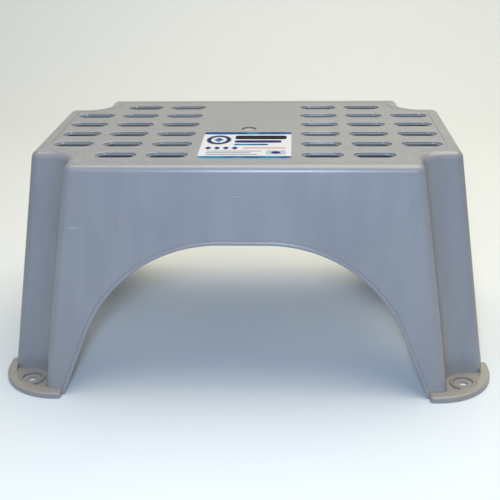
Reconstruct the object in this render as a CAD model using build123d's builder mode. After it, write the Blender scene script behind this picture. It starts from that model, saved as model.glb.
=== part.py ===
# Entry step for a caravan: one injection-moulded shell, open underneath, with a paper label on its tread.
# Millimetres, +Z up. The origin is on the floor under the middle of the tread, and the front faces -Y.
import os
from math import cos, hypot, radians, tan

from build123d import *

# Overall form: the tread is measured where its plane meets the planes of the drafted walls
height = 226.0
tread_width = 421.2
tread_depth = 277.0
draft = 7.7
wall = 4.0
tread_thickness = 3.0
rim_round = 7.0
least_round = 0.5
round_share = 0.9
tolerance = 0.01

# Corner notches, which fold each corner of the shell into a leg with an inner angle
notch_width = 42.0
notch_depth = 46.5
notch_round = 25.0

# Arches between the legs, each edged with a raised bead
arch_height = 151.0
arch_lean = 22.0
leg_width = 20.6
front_arch_round = 140.0
side_arch_round = 55.0
arch_bead_width = 4.0
arch_bead_height = 1.6
arch_bead_round = 1.4

# Fine groove round the tread's panel, inside the rim and a flat border
border_width = 5.0
groove_width = 0.8
groove_depth = 0.4

# Drain slots in as many columns and rows as the panel holds, each with a thin ledge round its opening
slot_pitch_x = 50.0
slot_pitch_y = 40.0
slot_length = 40.0
slot_width = 18.0
slot_edge_round = 1.2
ledge_width = 2.5
ledge_thickness = 1.0

# Round recess of the mould's gate in the middle of the tread
gate_diameter = 15.0
gate_depth = 1.0

# Cross ribs under the tread, each flush with the outer side of a row of openings
rib_thickness = 3.0
rib_depth = 25.0

# Foot pads: a raised lip round a thin tray with a screw seat
foot_thickness = 6.0
foot_front_lip = 9.1
foot_side_lip = 6.0
foot_corner_round = 60.0
foot_end_round = 3.5
foot_edge_round = 2.0
foot_end_gap = 2.0
tray_thickness = 2.4
tray_margin = 1.9
tray_corner_round = 50.0
screw_hole_diameter = 8.0
screw_from_side_angle = 18.2
screw_from_front_angle = 20.6
screw_ring_inner = 20.0
screw_ring_outer = 26.0
screw_ring_height = 1.0

# Paper label on the bare middle of the tread
label_width = 90.0
label_length = 97.0
label_thickness = 0.2
label_front_gap = 26.5

# Sizes that follow from those above
lean = tan(radians(draft))
floor_width = tread_width + 2 * height * lean
floor_depth = tread_depth + 2 * height * lean
corner_round = rim_round + 3 * least_round
wall_gap = wall / cos(radians(draft))
tread_underside = height - tread_thickness
notch_limit = min(notch_width, notch_depth) - corner_round - wall - least_round
bead_gap = arch_bead_height / cos(radians(draft))
bead_limit = round_share * min(arch_bead_height, arch_bead_width / 2, wall)
front_arch_span = floor_width - 2 * notch_width - 2 * leg_width
side_arch_span = floor_depth - 2 * notch_depth - 2 * leg_width
groove_margin = rim_round + border_width
panel_margin = groove_margin + groove_width
slot_reach_x = slot_length / 2 + slot_edge_round
slot_reach_y = slot_width / 2 + slot_edge_round
slot_columns = int((tread_width - 2 * panel_margin - 2 * slot_reach_x) / slot_pitch_x) + 1
slot_rows = int((tread_depth - 2 * panel_margin - 2 * slot_reach_y) / slot_pitch_y) + 1
slot_depth = tread_thickness - ledge_thickness
opening_length = slot_length - 2 * ledge_width
opening_width = slot_width - 2 * ledge_width
screw_spacing_x = floor_width - 2 * notch_width + 2 * screw_from_side_angle
screw_spacing_y = floor_depth - 2 * notch_depth + 2 * screw_from_front_angle


def leaning_edges(block):
    """Edges that run from the floor up to the tread, the ones nearest the middle first."""
    upright = block.edges().filter_by(lambda edge: abs(edge.tangent_at(0.5).Z) > 0.5)
    return upright.sort_by(lambda edge: hypot(edge.center().X, edge.center().Y))


def drafted_block(gap, inset, top):
    """Two crossed drafted blocks make the notched plan; gap and inset bring walls and rounds inwards."""
    width = floor_width - 2 * gap
    depth = floor_depth - 2 * gap
    with BuildPart() as block:
        with BuildSketch():
            Rectangle(width, depth - 2 * notch_depth)
        extrude(amount=top, taper=draft)
        with BuildSketch():
            Rectangle(width - 2 * notch_width, depth)
        extrude(amount=top, taper=draft)
        fillet(leaning_edges(block)[:4], min(notch_round, notch_limit) + inset)
        fillet(leaning_edges(block)[-8:], max(corner_round - inset, 2 * least_round))
        rim = block.faces().sort_by(Axis.Z)[-1].edges()
        fillet(rim, max(rim_round - inset, least_round))
    return block.part


def arch_profile(plane, span, top_round, grow):
    """Opening between two legs, with leaning sides and large top rounds; grow widens it all round."""
    half_floor = span / 2 + grow / cos(radians(arch_lean))
    top = arch_height + grow
    half_top = half_floor - top * tan(radians(arch_lean))
    round_limit = (half_top - least_round) / tan(radians(90 - arch_lean) / 2)
    with BuildSketch(plane) as profile:
        Polygon(
            (-half_floor, 0),
            (half_floor, 0),
            (half_top, top),
            (-half_top, top),
            align=None,
        )
        fillet(profile.vertices().group_by(Axis.Y)[-1], min(top_round + grow, round_limit))
    return profile.sketch


def on_bead(edge):
    """True for the edges of the beads' raised faces, apart from the ones on the floor."""
    middle = edge.position_at(0.5)
    raised_x = floor_width / 2 + bead_gap - middle.Z * lean
    raised_y = floor_depth / 2 + bead_gap - middle.Z * lean
    on_front = abs(abs(middle.Y) - raised_y) < tolerance
    on_side = abs(abs(middle.X) - raised_x) < tolerance
    return middle.Z > tolerance and (on_front or on_side)


def notched_plan(margin):
    """Plan of the tread, brought in by a margin from the planes of its walls."""
    width = tread_width - 2 * margin
    depth = tread_depth - 2 * margin
    with BuildSketch(Plane.XY.offset(height)) as plan:
        Rectangle(width, depth - 2 * notch_depth)
        Rectangle(width - 2 * notch_width, depth)
        inner_corners = plan.vertices().sort_by(lambda point: hypot(point.X, point.Y))[:4]
        fillet(inner_corners, min(notch_round + margin, min(notch_width, notch_depth) - least_round))
    return plan.sketch


def slot_places():
    """Grid places whose slot clears the label in the middle and the notches at the corners."""
    notch_x = tread_width / 2 - notch_width - panel_margin
    notch_y = tread_depth / 2 - notch_depth - panel_margin
    places = []
    for column in range(slot_columns):
        for row in range(slot_rows):
            x = (column - (slot_columns - 1) / 2) * slot_pitch_x
            y = (row - (slot_rows - 1) / 2) * slot_pitch_y
            clears_label = abs(x) - slot_reach_x > label_width / 2
            clears_notch = abs(x) + slot_reach_x < notch_x or abs(y) + slot_reach_y < notch_y
            if clears_label and clears_notch:
                places.append((x, y))
    return places


os.makedirs("parts", exist_ok=True)

# Outside and inside of the moulding, which leave the walls one thickness all over,
# and the raised outline that the beads reach out to
outside = drafted_block(0, 0, height)
inside = drafted_block(wall_gap, wall, tread_underside)
raised = drafted_block(-bead_gap, -arch_bead_height, height)
front_arch = arch_profile(Plane.XZ, front_arch_span, front_arch_round, 0)
side_arch = arch_profile(Plane.YZ, side_arch_span, side_arch_round, 0)
front_bead = arch_profile(Plane.XZ, front_arch_span, front_arch_round, arch_bead_width)
side_bead = arch_profile(Plane.YZ, side_arch_span, side_arch_round, arch_bead_width)
border_edge = notched_plan(groove_margin)
panel_edge = notched_plan(panel_margin)

with BuildPart() as foot_pads:
    # Flange outside each corner, square to the walls at its ends and round at its outer corner
    end_x = front_arch_span / 2 + foot_end_gap
    end_y = side_arch_span / 2 + foot_end_gap
    reach_x = floor_width / 2 + foot_side_lip - end_x
    reach_y = floor_depth / 2 + foot_front_lip - end_y
    with BuildSketch() as flange:
        with Locations((end_x, end_y)):
            Rectangle(reach_x, reach_y, align=(Align.MIN, Align.MIN))
        corners = flange.vertices().sort_by(lambda point: point.X / reach_x + point.Y / reach_y)
        fillet(corners[1:3], foot_end_round)
        outer_corner = flange.vertices().sort_by(lambda point: point.X / reach_x + point.Y / reach_y)[-1]
        fillet(outer_corner, min(foot_corner_round, min(reach_x, reach_y) - foot_end_round - least_round))
    extrude(amount=foot_thickness)
    fillet(foot_pads.faces().sort_by(Axis.Z)[-1].edges(), min(foot_edge_round, foot_end_round - least_round))

    # Tray sunk between the walls and the lip
    tray_x = floor_width / 2 - foot_thickness * lean - tray_margin - end_x
    tray_y = floor_depth / 2 - foot_thickness * lean - tray_margin - end_y
    with BuildSketch(Plane.XY.offset(tray_thickness)) as tray:
        with Locations((end_x, end_y)):
            Rectangle(tray_x, tray_y, align=(Align.MIN, Align.MIN))
        tray_corner = tray.vertices().sort_by(lambda point: point.X + point.Y)[-1]
        fillet(tray_corner, min(tray_corner_round, min(tray_x, tray_y) - least_round))
    extrude(amount=foot_thickness, mode=Mode.SUBTRACT)
    mirror(about=Plane.YZ)
    mirror(about=Plane.XZ)

with BuildPart() as arch_beads:
    # Thicker wall round the arches, as far as the beads reach
    extrude(front_bead, amount=floor_depth, both=True)
    extrude(side_bead, amount=floor_width, both=True)
    add(raised, mode=Mode.INTERSECT)

with BuildPart() as panel_groove:
    # Thin band between the flat border and the panel
    extrude(border_edge, amount=-groove_depth)
    extrude(panel_edge, amount=-groove_depth, mode=Mode.SUBTRACT)

with BuildPart() as step_shell:
    # Drafted body with arches through the front and back walls and through the two side walls
    add(outside)
    add(arch_beads.part)
    extrude(front_arch, amount=floor_depth, both=True, mode=Mode.SUBTRACT)
    extrude(side_arch, amount=floor_width, both=True, mode=Mode.SUBTRACT)
    fillet(step_shell.edges().filter_by(on_bead), min(arch_bead_round, bead_limit))

    # Foot pads outside the walls, and the hollow inside them
    add(foot_pads.part)
    add(inside, mode=Mode.SUBTRACT)

    # Cross ribs that end inside the side walls
    rib_row = (slot_rows / 2 - 1.5) * slot_pitch_y
    rib_y = rib_row + opening_width / 2 + rib_thickness / 2
    rib_top = height - tread_thickness / 2
    rib_bottom = tread_underside - rib_depth
    rib_end_top = tread_width / 2 + (height - rib_top) * lean - wall_gap / 2
    rib_end_bottom = tread_width / 2 + (height - rib_bottom) * lean - wall_gap / 2
    for side in (-1, 1):
        with BuildSketch(Plane.XZ.offset(side * rib_y)):
            Polygon(
                (-rib_end_bottom, rib_bottom),
                (rib_end_bottom, rib_bottom),
                (rib_end_top, rib_top),
                (-rib_end_top, rib_top),
                align=None,
            )
        extrude(amount=rib_thickness / 2, both=True)

    # Drain slots with rounded upper edges, and the opening inside the ledge of each
    with BuildSketch(Plane.XY.offset(height)):
        with Locations(*slot_places()):
            SlotOverall(slot_length, slot_width)
    extrude(amount=-slot_depth, mode=Mode.SUBTRACT)
    tread = step_shell.faces().sort_by(Axis.Z)[-1]
    slot_edges = [edge for slot in tread.inner_wires() for edge in slot.edges()]
    fillet(slot_edges, min(slot_edge_round, slot_depth - least_round))
    with BuildSketch(Plane.XY.offset(height)):
        with Locations(*slot_places()):
            SlotOverall(opening_length, opening_width)
    extrude(amount=-tread_thickness, mode=Mode.SUBTRACT)

    # Groove round the panel
    add(panel_groove.part, mode=Mode.SUBTRACT)

    # Recess of the gate
    with BuildSketch(Plane.XY.offset(height)):
        Circle(gate_diameter / 2)
    extrude(amount=-gate_depth, mode=Mode.SUBTRACT)

    # Screw seats: a raised ring round each hole
    with BuildSketch(Plane.XY.offset(tray_thickness)):
        with GridLocations(screw_spacing_x, screw_spacing_y, 2, 2):
            Circle(screw_ring_outer / 2)
            Circle(screw_ring_inner / 2, mode=Mode.SUBTRACT)
    extrude(amount=screw_ring_height)
    with Locations(Plane.XY.offset(tray_thickness)):
        with GridLocations(screw_spacing_x, screw_spacing_y, 2, 2):
            Hole(screw_hole_diameter / 2, depth=tray_thickness)

step_shell.part.label = "step_shell"
export_step(step_shell.part, "parts/step_shell.step")

with BuildPart() as paper_label:
    label_y = label_front_gap + label_length / 2 - tread_depth / 2
    with BuildSketch(Plane.XY.offset(height)):
        with Locations((0, label_y)):
            Rectangle(label_width, label_length)
    extrude(amount=label_thickness)

paper_label.part.label = "paper_label"
export_step(paper_label.part, "parts/paper_label.step")
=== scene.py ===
import math

import bpy
from mathutils import Matrix, Vector


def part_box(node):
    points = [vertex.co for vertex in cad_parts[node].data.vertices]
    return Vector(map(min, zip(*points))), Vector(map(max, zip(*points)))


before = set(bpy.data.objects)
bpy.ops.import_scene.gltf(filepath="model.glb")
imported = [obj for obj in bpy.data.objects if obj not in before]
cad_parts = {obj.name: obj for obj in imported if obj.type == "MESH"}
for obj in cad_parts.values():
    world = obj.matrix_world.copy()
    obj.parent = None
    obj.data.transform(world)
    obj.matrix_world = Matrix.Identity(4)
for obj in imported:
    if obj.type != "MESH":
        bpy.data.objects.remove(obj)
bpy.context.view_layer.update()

# Step shell: one injection moulding in grey polypropylene, with the fine grain of an eroded mould.
# The tread's panel is grained a little deeper than the border round it, the melt has left faint
# flow marks down the walls, and a few scuffs, scratches and specks come from handling.
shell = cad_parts["step_shell"]
tread_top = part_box("step_shell")[1].z
plastic = bpy.data.materials.new("grey_plastic")
plastic.use_nodes = True
plastic_shader = plastic.node_tree.nodes["Principled BSDF"]
plastic_shader.inputs["IOR"].default_value = 1.49
plastic_shader.inputs["Specular IOR Level"].default_value = 1.0


class Nodes:
    """Shader nodes of one tree, where each input is a plain value or the socket that feeds it."""

    def __init__(self, tree):
        self.tree = tree

    def feed(self, socket, value):
        """Give one input socket its plain value or its link."""
        if isinstance(value, bpy.types.NodeSocket):
            self.tree.links.new(value, socket)
        else:
            socket.default_value = value

    def add(self, kind, inputs=None, **settings):
        """Add one node with its settings and feed its inputs."""
        node = self.tree.nodes.new(kind)
        for name, value in settings.items():
            setattr(node, name, value)
        for key, value in (inputs or {}).items():
            self.feed(node.inputs[key], value)
        return node

    def calc(self, operation, *values):
        """Result of one Math node."""
        return self.add("ShaderNodeMath", dict(enumerate(values)), operation=operation).outputs["Value"]

    def gap(self, value, target):
        """How far a value is from a target, on either side."""
        return self.calc("ABSOLUTE", self.calc("SUBTRACT", value, target))

    def length(self, across, along):
        """Length of a slanted line from its reach across and along."""
        squares = self.calc("ADD", self.calc("POWER", across, 2.0), self.calc("POWER", along, 2.0))
        return self.calc("SQRT", squares)

    def fade(self, value, start, end, low=0.0, high=1.0):
        """Smooth change from low to high while the value goes from start to end."""
        inputs = {"Value": value, "From Min": start, "From Max": end, "To Min": low, "To Max": high}
        return self.add("ShaderNodeMapRange", inputs, interpolation_type="SMOOTHSTEP").outputs["Result"]

    def noise(self, place, scale, detail):
        """Soft random value over the surface."""
        inputs = {"Vector": place, "Scale": scale, "Detail": detail}
        return self.add("ShaderNodeTexNoise", inputs).outputs["Fac"]

    def blend(self, factor, first, second):
        """Colour that goes from the first to the second with the factor."""
        factor_input, first_input, second_input, colour_output = 0, 6, 7, 2
        inputs = {factor_input: factor, first_input: first, second_input: second}
        return self.add("ShaderNodeMix", inputs, data_type="RGBA").outputs[colour_output]


# Mask of one small mark, whose squareness makes it a lozenge, an oval or a block
lozenge_mark, oval_mark, block_mark = 1.0, 2.0, 8.0
outside_mark, inside_mark = 1.2, 0.8
spot_group = bpy.data.node_groups.new("spot_mask", "ShaderNodeTree")
for axis in ("Across", "Along"):
    for socket_name in (axis, "Middle " + axis, "Half " + axis):
        spot_group.interface.new_socket(socket_name, in_out="INPUT", socket_type="NodeSocketFloat")
spot_group.interface.new_socket("Squareness", in_out="INPUT", socket_type="NodeSocketFloat")
spot_group.interface.new_socket("Mask", in_out="OUTPUT", socket_type="NodeSocketFloat")
spot_nodes = Nodes(spot_group)
given = spot_nodes.add("NodeGroupInput").outputs
reaches = []
for axis in ("Across", "Along"):
    offset = spot_nodes.gap(given[axis], given["Middle " + axis])
    reach = spot_nodes.calc("DIVIDE", offset, given["Half " + axis])
    reaches.append(spot_nodes.calc("POWER", reach, given["Squareness"]))
spot_mask = spot_nodes.fade(spot_nodes.calc("ADD", *reaches), outside_mark, inside_mark)
spot_nodes.add("NodeGroupOutput", {"Mask": spot_mask})


def spot(nodes, across, along, middle, half, squareness):
    """Mask of a mark of the given middle and half size, measured across and along."""
    inputs = {"Across": across, "Along": along, "Squareness": squareness}
    inputs["Middle Across"], inputs["Middle Along"] = middle
    inputs["Half Across"], inputs["Half Along"] = half
    return nodes.add("ShaderNodeGroup", inputs, node_tree=spot_group).outputs["Mask"]


skin = Nodes(plastic.node_tree)
coordinates = skin.add("ShaderNodeTexCoord").outputs
place = coordinates["Object"]
axes = skin.add("ShaderNodeSeparateXYZ", {"Vector": place}).outputs
upward = skin.add("ShaderNodeSeparateXYZ", {"Vector": coordinates["Normal"]}).outputs["Z"]
across = skin.calc("ABSOLUTE", axes["X"])
along = skin.calc("ABSOLUTE", axes["Y"])

# Colour: cloudy grey, faintly darker along the flow of the melt, with a fine speckle
cloud_dark = (0.258, 0.276, 0.311, 1)
cloud_pale = (0.287, 0.305, 0.340, 1)
flow_grey = (0.238, 0.257, 0.293, 1)
flow_stretch = (70, 70, 6)
speckle_grey = (0.195, 0.210, 0.235, 1)
cloud = skin.noise(place, scale=11.0, detail=6.0)
tone = skin.blend(skin.fade(cloud, 0.3, 0.72), cloud_dark, cloud_pale)
flow_place = skin.add("ShaderNodeMapping", {"Vector": place, "Scale": flow_stretch}).outputs["Vector"]
flow = skin.noise(flow_place, scale=1.0, detail=4.0)
tone = skin.blend(skin.fade(flow, 0.38, 0.66, high=0.5), tone, flow_grey)
speckle = skin.noise(place, scale=450.0, detail=3.0)
tone = skin.blend(skin.fade(speckle, 0.35, 0.65, high=0.12), tone, speckle_grey)

# Distance outside the tread's groove, which rounds the inner angles of the notches
groove_x, groove_y, groove_half = 0.1982, 0.1261, 0.0003
angle_x, angle_y, angle_round = 0.1562, 0.0796, 0.0374
tread_skin = 0.0012
inside_x = skin.calc("MAXIMUM", skin.calc("SUBTRACT", angle_x + angle_round, across), 0.0)
inside_y = skin.calc("MAXIMUM", skin.calc("SUBTRACT", angle_y + angle_round, along), 0.0)
notch = skin.calc("SUBTRACT", angle_round, skin.length(inside_x, inside_y))
edge_x = skin.calc("SUBTRACT", across, groove_x)
edge_y = skin.calc("SUBTRACT", along, groove_y)
border = skin.calc("MAXIMUM", notch, skin.calc("MAXIMUM", edge_x, edge_y))
on_tread = skin.fade(axes["Z"], tread_top - tread_skin, tread_top - tread_skin / 2)
panel = skin.calc("MULTIPLY", skin.fade(border, groove_half, -groove_half), on_tread)

# Groove tint: painted light, a pale grey at the front that cancels the groove's shading, going to a
# darker brown towards the back
groove_tint_half = 0.0007
pale_groove_y, brown_groove_y = -0.072, -0.040
groove_highlight_grey = (0.44, 0.46, 0.49, 1)
groove_brown = (0.16, 0.155, 0.145, 1)
in_groove = skin.fade(skin.calc("ABSOLUTE", border), groove_tint_half, groove_half)
groove_tint = skin.calc("MULTIPLY", in_groove, on_tread)
groove_tint = skin.calc("MULTIPLY", groove_tint, skin.fade(axes["Y"], pale_groove_y, brown_groove_y, low=0.8, high=0.3))
groove_tint_tone = skin.blend(skin.fade(axes["Y"], pale_groove_y, brown_groove_y), groove_highlight_grey, groove_brown)
tone = skin.blend(groove_tint, tone, groove_tint_tone)

# Painted warm light: a lighter beige on the upward faces of the foot pads, and painted shade along the
# rings of the screw seats
seat_x, seat_y = 0.21736, 0.14316
ring_radii = (0.0100, 0.0130)
ring_half, ring_edge = 0.0003, 0.0009
pad_top, above_pads = 0.009, 0.012
pad_light_beige = (0.365, 0.340, 0.302, 1)
ring_shade_black = (0.085, 0.085, 0.090, 1)
near_ground = skin.fade(axes["Z"], above_pads, pad_top)
facing_up = skin.calc("MULTIPLY", near_ground, skin.fade(upward, -0.6, 0.9))
pad_warm_light = skin.calc("MULTIPLY", facing_up, skin.fade(cloud, 0.25, 0.6, low=0.6, high=0.95))
tone = skin.blend(pad_warm_light, tone, pad_light_beige)
seat_offset_x = skin.calc("SUBTRACT", across, seat_x)
seat_offset_y = skin.calc("SUBTRACT", along, seat_y)
from_seat = skin.length(seat_offset_x, seat_offset_y)
# Painted shade along the walls of both rings of each screw seat
for radius in ring_radii:
    ring_shade = skin.fade(skin.gap(from_seat, radius), ring_edge, ring_half, high=0.6)
    tone = skin.blend(skin.calc("MULTIPLY", near_ground, ring_shade), tone, ring_shade_black)

# Gate mark: painted shade round the rim of its recess, and the pale scar where the sprue was cut off
gate_radius, gate_half, gate_edge = 0.0074, 0.0004, 0.0010
scar_radius, scar_edge = 0.0035, 0.0055
gate_low, gate_high = tread_top - 0.008, tread_top - 0.006
gate_shade_dark = (0.10, 0.095, 0.09, 1)
scar_grey = (0.46, 0.47, 0.48, 1)
from_gate = skin.length(axes["X"], axes["Y"])
gate_rim_shade = skin.fade(skin.gap(from_gate, gate_radius), gate_edge, gate_half)
gate_rim_shade = skin.calc("MULTIPLY", gate_rim_shade, skin.fade(axes["Z"], gate_low, gate_high, high=0.75))
tone = skin.blend(gate_rim_shade, tone, gate_shade_dark)
scar = skin.fade(from_gate, scar_edge, scar_radius)
scar = skin.calc("MULTIPLY", scar, skin.fade(axes["Z"], gate_low, gate_high, high=0.7))
tone = skin.blend(scar, tone, scar_grey)

# Scuffs and specks on the front: middle across and up, half size across and up, and shade
front_limit = -0.08
scuffs = (
    ((-0.1610, 0.1675), (0.0055, 0.0006), 0.55),
    ((-0.0060, 0.1975), (0.0042, 0.0006), 0.52),
    ((0.0150, 0.1850), (0.0022, 0.0005), 0.47),
    ((0.2005, 0.1720), (0.0016, 0.0045), 0.30),
    ((0.2050, 0.1815), (0.0022, 0.0008), 0.31),
    ((0.2030, 0.2010), (0.0010, 0.0050), 0.31),
    ((-0.1205, 0.1772), (0.0011, 0.0011), 0.16),
    ((0.0403, 0.2144), (0.0012, 0.0009), 0.18),
)
on_front = skin.calc("LESS_THAN", axes["Y"], front_limit)
broken = skin.fade(speckle, 0.3, 0.6, low=0.05, high=0.65)
for middle, half, shade in scuffs:
    mark = spot(skin, axes["X"], axes["Z"], middle, half, oval_mark)
    mark = skin.calc("MULTIPLY", skin.calc("MULTIPLY", mark, on_front), broken)
    tone = skin.blend(mark, tone, (shade, shade, shade, 1))
skin.feed(plastic_shader.inputs["Base Color"], tone)

# Sheen: satin on the walls and the border, a little duller on the panel, smooth on the slots' edges
panel_dulling, lip_polish = 0.05, -0.14
lip_start, lip_full = tread_top - 0.00005, tread_top - 0.0003
lip_fading, lip_end = tread_top - 0.005, tread_top - 0.006
groove_side, slot_side = -0.001, -0.002
satin = skin.fade(cloud, 0.3, 0.7, low=0.32, high=0.38)
sheen = skin.calc("MULTIPLY_ADD", panel, panel_dulling, satin)
under_top = skin.fade(axes["Z"], lip_start, lip_full)
lip = skin.calc("MULTIPLY", under_top, skin.fade(axes["Z"], lip_end, lip_fading))
lip = skin.calc("MULTIPLY", lip, skin.fade(border, groove_side, slot_side))
sheen = skin.calc("MULTIPLY_ADD", lip, lip_polish, sheen)
skin.feed(plastic_shader.inputs["Roughness"], sheen)

# Relief: fine grain all over, deeper on the panel and fainter on the slots' edges
plain_grain, panel_grain, lip_grain = 0.7, 0.6, -0.7
grain = skin.noise(place, scale=1300.0, detail=2.0)
grain_depth = skin.calc("MULTIPLY_ADD", panel, panel_grain, plain_grain)
grain_depth = skin.calc("MULTIPLY_ADD", lip, lip_grain, grain_depth)
relief = skin.calc("MULTIPLY", grain, grain_depth)
relief_bump = skin.add("ShaderNodeBump", {"Strength": 0.14, "Distance": 0.0002, "Height": relief})
skin.feed(plastic_shader.inputs["Normal"], relief_bump.outputs["Normal"])
shell.data.materials.clear()
shell.data.materials.append(plastic)

# Paper label: a coated white sheet, printed and glued to the bare middle of the tread.
# The print is plain: a blue band along two edges, a ring, bars, lozenges and a pale block.
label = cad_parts["paper_label"]
label_low, label_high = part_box("paper_label")
label_middle = (label_low + label_high) / 2
paper = bpy.data.materials.new("label_paper")
paper.use_nodes = True
paper_shader = paper.node_tree.nodes["Principled BSDF"]
paper_shader.inputs["Specular IOR Level"].default_value = 0.02
sheet = Nodes(paper.node_tree)
sheet_place = sheet.add("ShaderNodeTexCoord").outputs["Object"]
sheet_axes = sheet.add("ShaderNodeSeparateXYZ", {"Vector": sheet_place}).outputs
paper_dim = (0.64, 0.70, 0.80, 1)
paper_bright = (0.69, 0.75, 0.84, 1)
fibre = sheet.noise(sheet_place, scale=240.0, detail=5.0)
printed = sheet.blend(sheet.fade(fibre, 0.3, 0.7), paper_dim, paper_bright)

# Blue ink that drifts to teal, and the other inks
deep_blue = (0.005, 0.070, 0.27, 1)
teal = (0.008, 0.22, 0.42, 1)
drift = sheet.fade(sheet.noise(sheet_place, scale=55.0, detail=1.0), 0.45, 0.65)
blue = sheet.blend(drift, deep_blue, teal)
navy = (0.010, 0.014, 0.13, 1)
black = (0.006, 0.006, 0.008, 1)
grey = (0.20, 0.21, 0.24, 1)
orange = (0.55, 0.18, 0.09, 1)
white = (0.67, 0.73, 0.82, 1)
mist = (0.42, 0.50, 0.60, 1)

# Printed shapes: middle from the label's own middle, half size, squareness and ink
ring_middle = (-0.0285, 0.0175)
block_middle = (0.0300, -0.0295)
shapes = [
    ((0.0, 0.0437), (0.0460, 0.0049), block_mark, blue),
    ((0.0, -0.0453), (0.0460, 0.0034), block_mark, blue),
    (ring_middle, (0.0125, 0.0175), oval_mark, navy),
    (ring_middle, (0.0080, 0.0110), oval_mark, white),
    (ring_middle, (0.0052, 0.0082), lozenge_mark, blue),
    ((0.0140, 0.0270), (0.0262, 0.0075), block_mark, black),
    ((0.0115, 0.0110), (0.0236, 0.0048), block_mark, navy),
    ((0.0050, -0.0005), (0.0170, 0.0030), block_mark, blue),
    ((0.0185, -0.0135), (0.0215, 0.0018), block_mark, orange),
    (block_middle, (0.0095, 0.0078), block_mark, mist),
    (block_middle, (0.0046, 0.0044), oval_mark, navy),
    ((-0.0110, -0.0245), (0.0270, 0.0013), block_mark, grey),
    ((-0.0160, -0.0305), (0.0220, 0.0013), block_mark, grey),
    ((-0.0130, -0.0365), (0.0250, 0.0013), block_mark, grey),
]
lozenge_first, lozenge_row, lozenge_pitch, lozenge_count = -0.0370, -0.0135, 0.0088, 4
lozenge_half = (0.0036, 0.0056)
for lozenge in range(lozenge_count):
    lozenge_x = lozenge_first + lozenge_pitch * lozenge
    shapes.append(((lozenge_x, lozenge_row), lozenge_half, lozenge_mark, navy))
for (shape_x, shape_y), half, squareness, ink in shapes:
    middle = (label_middle.x + shape_x, label_middle.y + shape_y)
    mask = spot(sheet, sheet_axes["X"], sheet_axes["Y"], middle, half, squareness)
    printed = sheet.blend(mask, printed, ink)
sheet.feed(paper_shader.inputs["Base Color"], printed)

# Gloss of the coated paper, which has cockled a little
gloss = sheet.fade(fibre, 0.3, 0.7, low=0.34, high=0.46)
sheet.feed(paper_shader.inputs["Roughness"], gloss)
cockle = sheet.noise(sheet_place, scale=26.0, detail=2.0)
cockle_bump = sheet.add("ShaderNodeBump", {"Strength": 0.25, "Distance": 0.001, "Height": cockle})
sheet.feed(paper_shader.inputs["Normal"], cockle_bump.outputs["Normal"])
label.data.materials.clear()
label.data.materials.append(paper)

# Floor: a wide pale sheet that bends up into a backdrop well behind the step.
# It only carries the step and its shadow.
floor_front, floor_half = -3.0, 4.0
bend_start, bend_radius, bend_parts = 0.9, 0.6, 12
backdrop_top = 3.0
profile = [(floor_front, 0.0)]
for part in range(bend_parts + 1):
    angle = math.radians(90 * part / bend_parts)
    rise = bend_radius - bend_radius * math.cos(angle)
    profile.append((bend_start + bend_radius * math.sin(angle), rise))
profile.append((bend_start + bend_radius, backdrop_top))
points = [(x, y, z) for y, z in profile for x in (-floor_half, floor_half)]
faces = [(2 * i, 2 * i + 1, 2 * i + 3, 2 * i + 2) for i in range(len(profile) - 1)]
floor_mesh = bpy.data.meshes.new("floor")
floor_mesh.from_pydata(points, [], faces)
for face in floor_mesh.polygons:
    face.use_smooth = True
floor = bpy.data.objects.new("floor", floor_mesh)
bpy.context.scene.collection.objects.link(floor)


def seen_mask(nodes):
    """Mask of the rays that show a surface: straight to the camera, mirrored or through glass."""
    ray = nodes.add("ShaderNodeLightPath").outputs
    seen = nodes.calc("MAXIMUM", ray["Is Camera Ray"], ray["Is Glossy Ray"])
    return nodes.calc("MAXIMUM", seen, ray["Is Transmission Ray"])


floor_bounce = (0.56, 0.57, 0.57, 1)
floor_pale = (0.79, 0.88, 0.96, 1)
pale = bpy.data.materials.new("pale_floor")
pale.use_nodes = True
pale_shader = pale.node_tree.nodes["Principled BSDF"]
pale_shader.inputs["Roughness"].default_value = 0.7
pale_nodes = Nodes(pale.node_tree)
floor_shade = pale_nodes.blend(seen_mask(pale_nodes), floor_bounce, floor_pale)
pale_nodes.feed(pale_shader.inputs["Base Color"], floor_shade)
floor_mesh.materials.append(pale)

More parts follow.
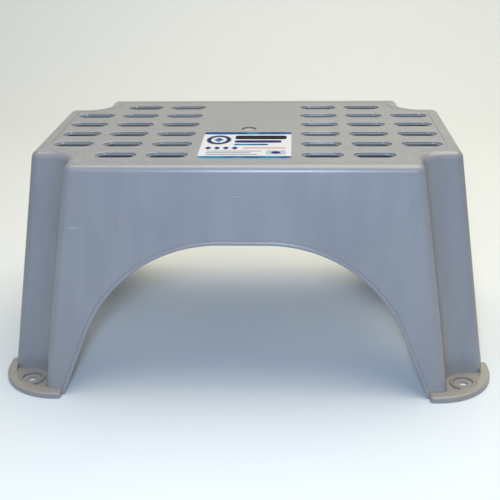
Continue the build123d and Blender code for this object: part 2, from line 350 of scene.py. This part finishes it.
# Light: a soft cool lamp just over the camera, a wide warm one overhead, and an even sky that looks
# about as pale as the floor. Each lamp has its place, the point it faces, size, watts and colour.
lamps = (
    ("front_lamp", (0.02, -1.00, 0.56), (0, 0, 0.12), (0.10, 0.12), 5.4, (0.53, 0.71, 1.0)),
    ("top_lamp", (0.30, 0.25, 1.9), (0, 0, 0.2), (2.0, 2.0), 40.0, (1.0, 0.86, 0.63)),
)
for name, lamp_place, aim, (width, height), power, colour in lamps:
    lamp_data = bpy.data.lights.new(name, "AREA")
    lamp_data.shape = "RECTANGLE"
    lamp_data.size = width
    lamp_data.size_y = height
    lamp_data.energy = power
    lamp_data.color = colour
    lamp = bpy.data.objects.new(name, lamp_data)
    lamp.location = lamp_place
    lamp.rotation_euler = (Vector(aim) - Vector(lamp_place)).to_track_quat("-Z", "Y").to_euler()
    bpy.context.scene.collection.objects.link(lamp)
sky_light = (0.22, 0.23, 0.24, 1)
sky_pale = (0.66, 0.69, 0.71, 1)
world = bpy.data.worlds.new("sky")
world.use_nodes = True
sky_nodes = Nodes(world.node_tree)
sky = sky_nodes.blend(seen_mask(sky_nodes), sky_light, sky_pale)
sky_nodes.feed(world.node_tree.nodes["Background"].inputs["Color"], sky)
bpy.context.scene.world = world

# Camera: about a metre in front of the step and half a metre up, turned a little to the left.
# It looks down on the tread, with a slight roll.
camera_place = (0.04617, -0.95858, 0.47003)
yaw = math.radians(-2.80)
pitch = math.radians(21.74)
roll = math.radians(-0.76)
camera_data = bpy.data.cameras.new("camera")
camera_data.sensor_width = 36.0
camera_data.lens = 66.56
camera = bpy.data.objects.new("camera", camera_data)
right = Vector((math.cos(yaw), -math.sin(yaw), 0))
ahead = Vector((math.sin(yaw) * math.cos(pitch), math.cos(yaw) * math.cos(pitch), -math.sin(pitch)))
down = ahead.cross(right)
turned_right = math.cos(roll) * right - math.sin(roll) * down
turned_down = math.sin(roll) * right + math.cos(roll) * down
camera_axes = Matrix((turned_right, -turned_down, -ahead)).transposed()
camera.matrix_world = Matrix.Translation(camera_place) @ camera_axes.to_4x4()
bpy.context.scene.collection.objects.link(camera)
bpy.context.scene.camera = camera

bpy.context.scene.view_settings.view_transform = "Standard"
